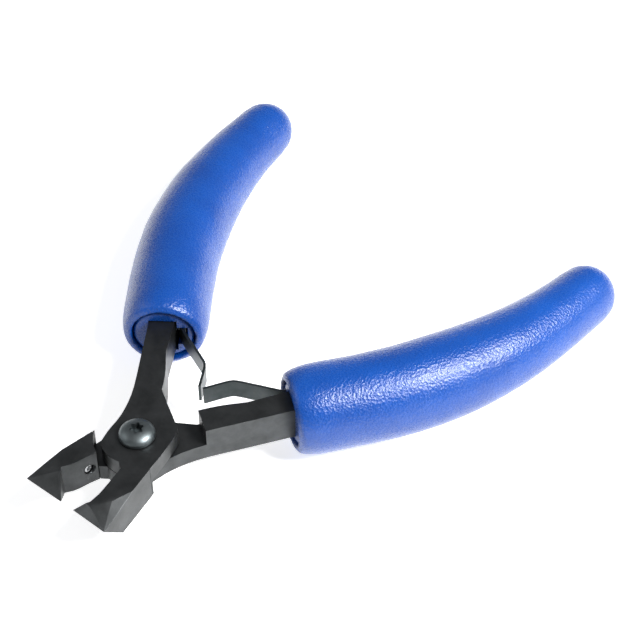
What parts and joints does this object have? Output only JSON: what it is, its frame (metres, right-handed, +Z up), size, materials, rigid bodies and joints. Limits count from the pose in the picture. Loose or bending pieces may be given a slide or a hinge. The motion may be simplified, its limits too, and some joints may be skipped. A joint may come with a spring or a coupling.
{
  "type": "flush cut pliers",
  "caption": "Angled end-cutting flush pliers: two lapped steel arms on a screw joint, paired leaf springs and thick padded grips.",
  "frame": {"origin": "bottom centre of the bounding box with the tool lying flat and open, on the surface it lies on", "axes": "+X to the right-hand handle seen from above, +Y from the jaws to the handles' ends, +Z up along the hinge screw, out of its head"},
  "size_m": [0.1126, 0.1288, 0.0202],
  "materials": {
    "arm_steel": "satin black oxide, ground on the jaws",
    "screw_steel": "semi-bright dark steel",
    "bushing_steel": "ground steel",
    "spring_steel": "satin dark strip",
    "grip_core": "matte moulded",
    "grip_foam": "fine pebbled foam skin"
  },
  "bodies": {
    "lower_half": {"arm_lower": "arm_steel", "pivot_screw": "screw_steel", "pivot_bushing": "bushing_steel", "pivot_nut": "screw_steel", "set_screw": "screw_steel", "spring_rivet_right": "screw_steel", "grip_core_right": "grip_core", "grip_sleeve_right": "grip_foam"},
    "upper_half": {"arm_upper": "arm_steel", "spring_rivet_left": "screw_steel", "grip_core_left": "grip_core", "grip_sleeve_left": "grip_foam"},
    "right_leaf": {"leaf_spring_right": "spring_steel"},
    "left_leaf": {"leaf_spring_left": "spring_steel"}
  },
  "joints": [
    {"name": "squeeze", "type": "hinge", "parent": "lower_half", "child": "upper_half", "pos_m": [0, -0.04249, 0.0101], "axis": [0, 0, -1], "range_deg": [0, 8.2], "stiffness_Nm_per_rad": 2, "springref_deg": -5.73},
    {"name": "right_leaf_flex", "type": "hinge", "parent": "lower_half", "child": "right_leaf", "pos_m": [0.0171, -0.01069, 0.0101], "axis": [0, 0, 1], "range_deg": [-0.1, 6.6]},
    {"name": "left_leaf_flex", "type": "hinge", "parent": "upper_half", "child": "left_leaf", "pos_m": [-0.0171, -0.01069, 0.0101], "axis": [0, 0, -1], "range_deg": [-0.1, 6.6]}
  ],
  "couplings": [
    {"joint": "right_leaf_flex", "follows": "squeeze", "ratio": 0.79},
    {"joint": "left_leaf_flex", "follows": "squeeze", "ratio": 0.79}
  ]
}
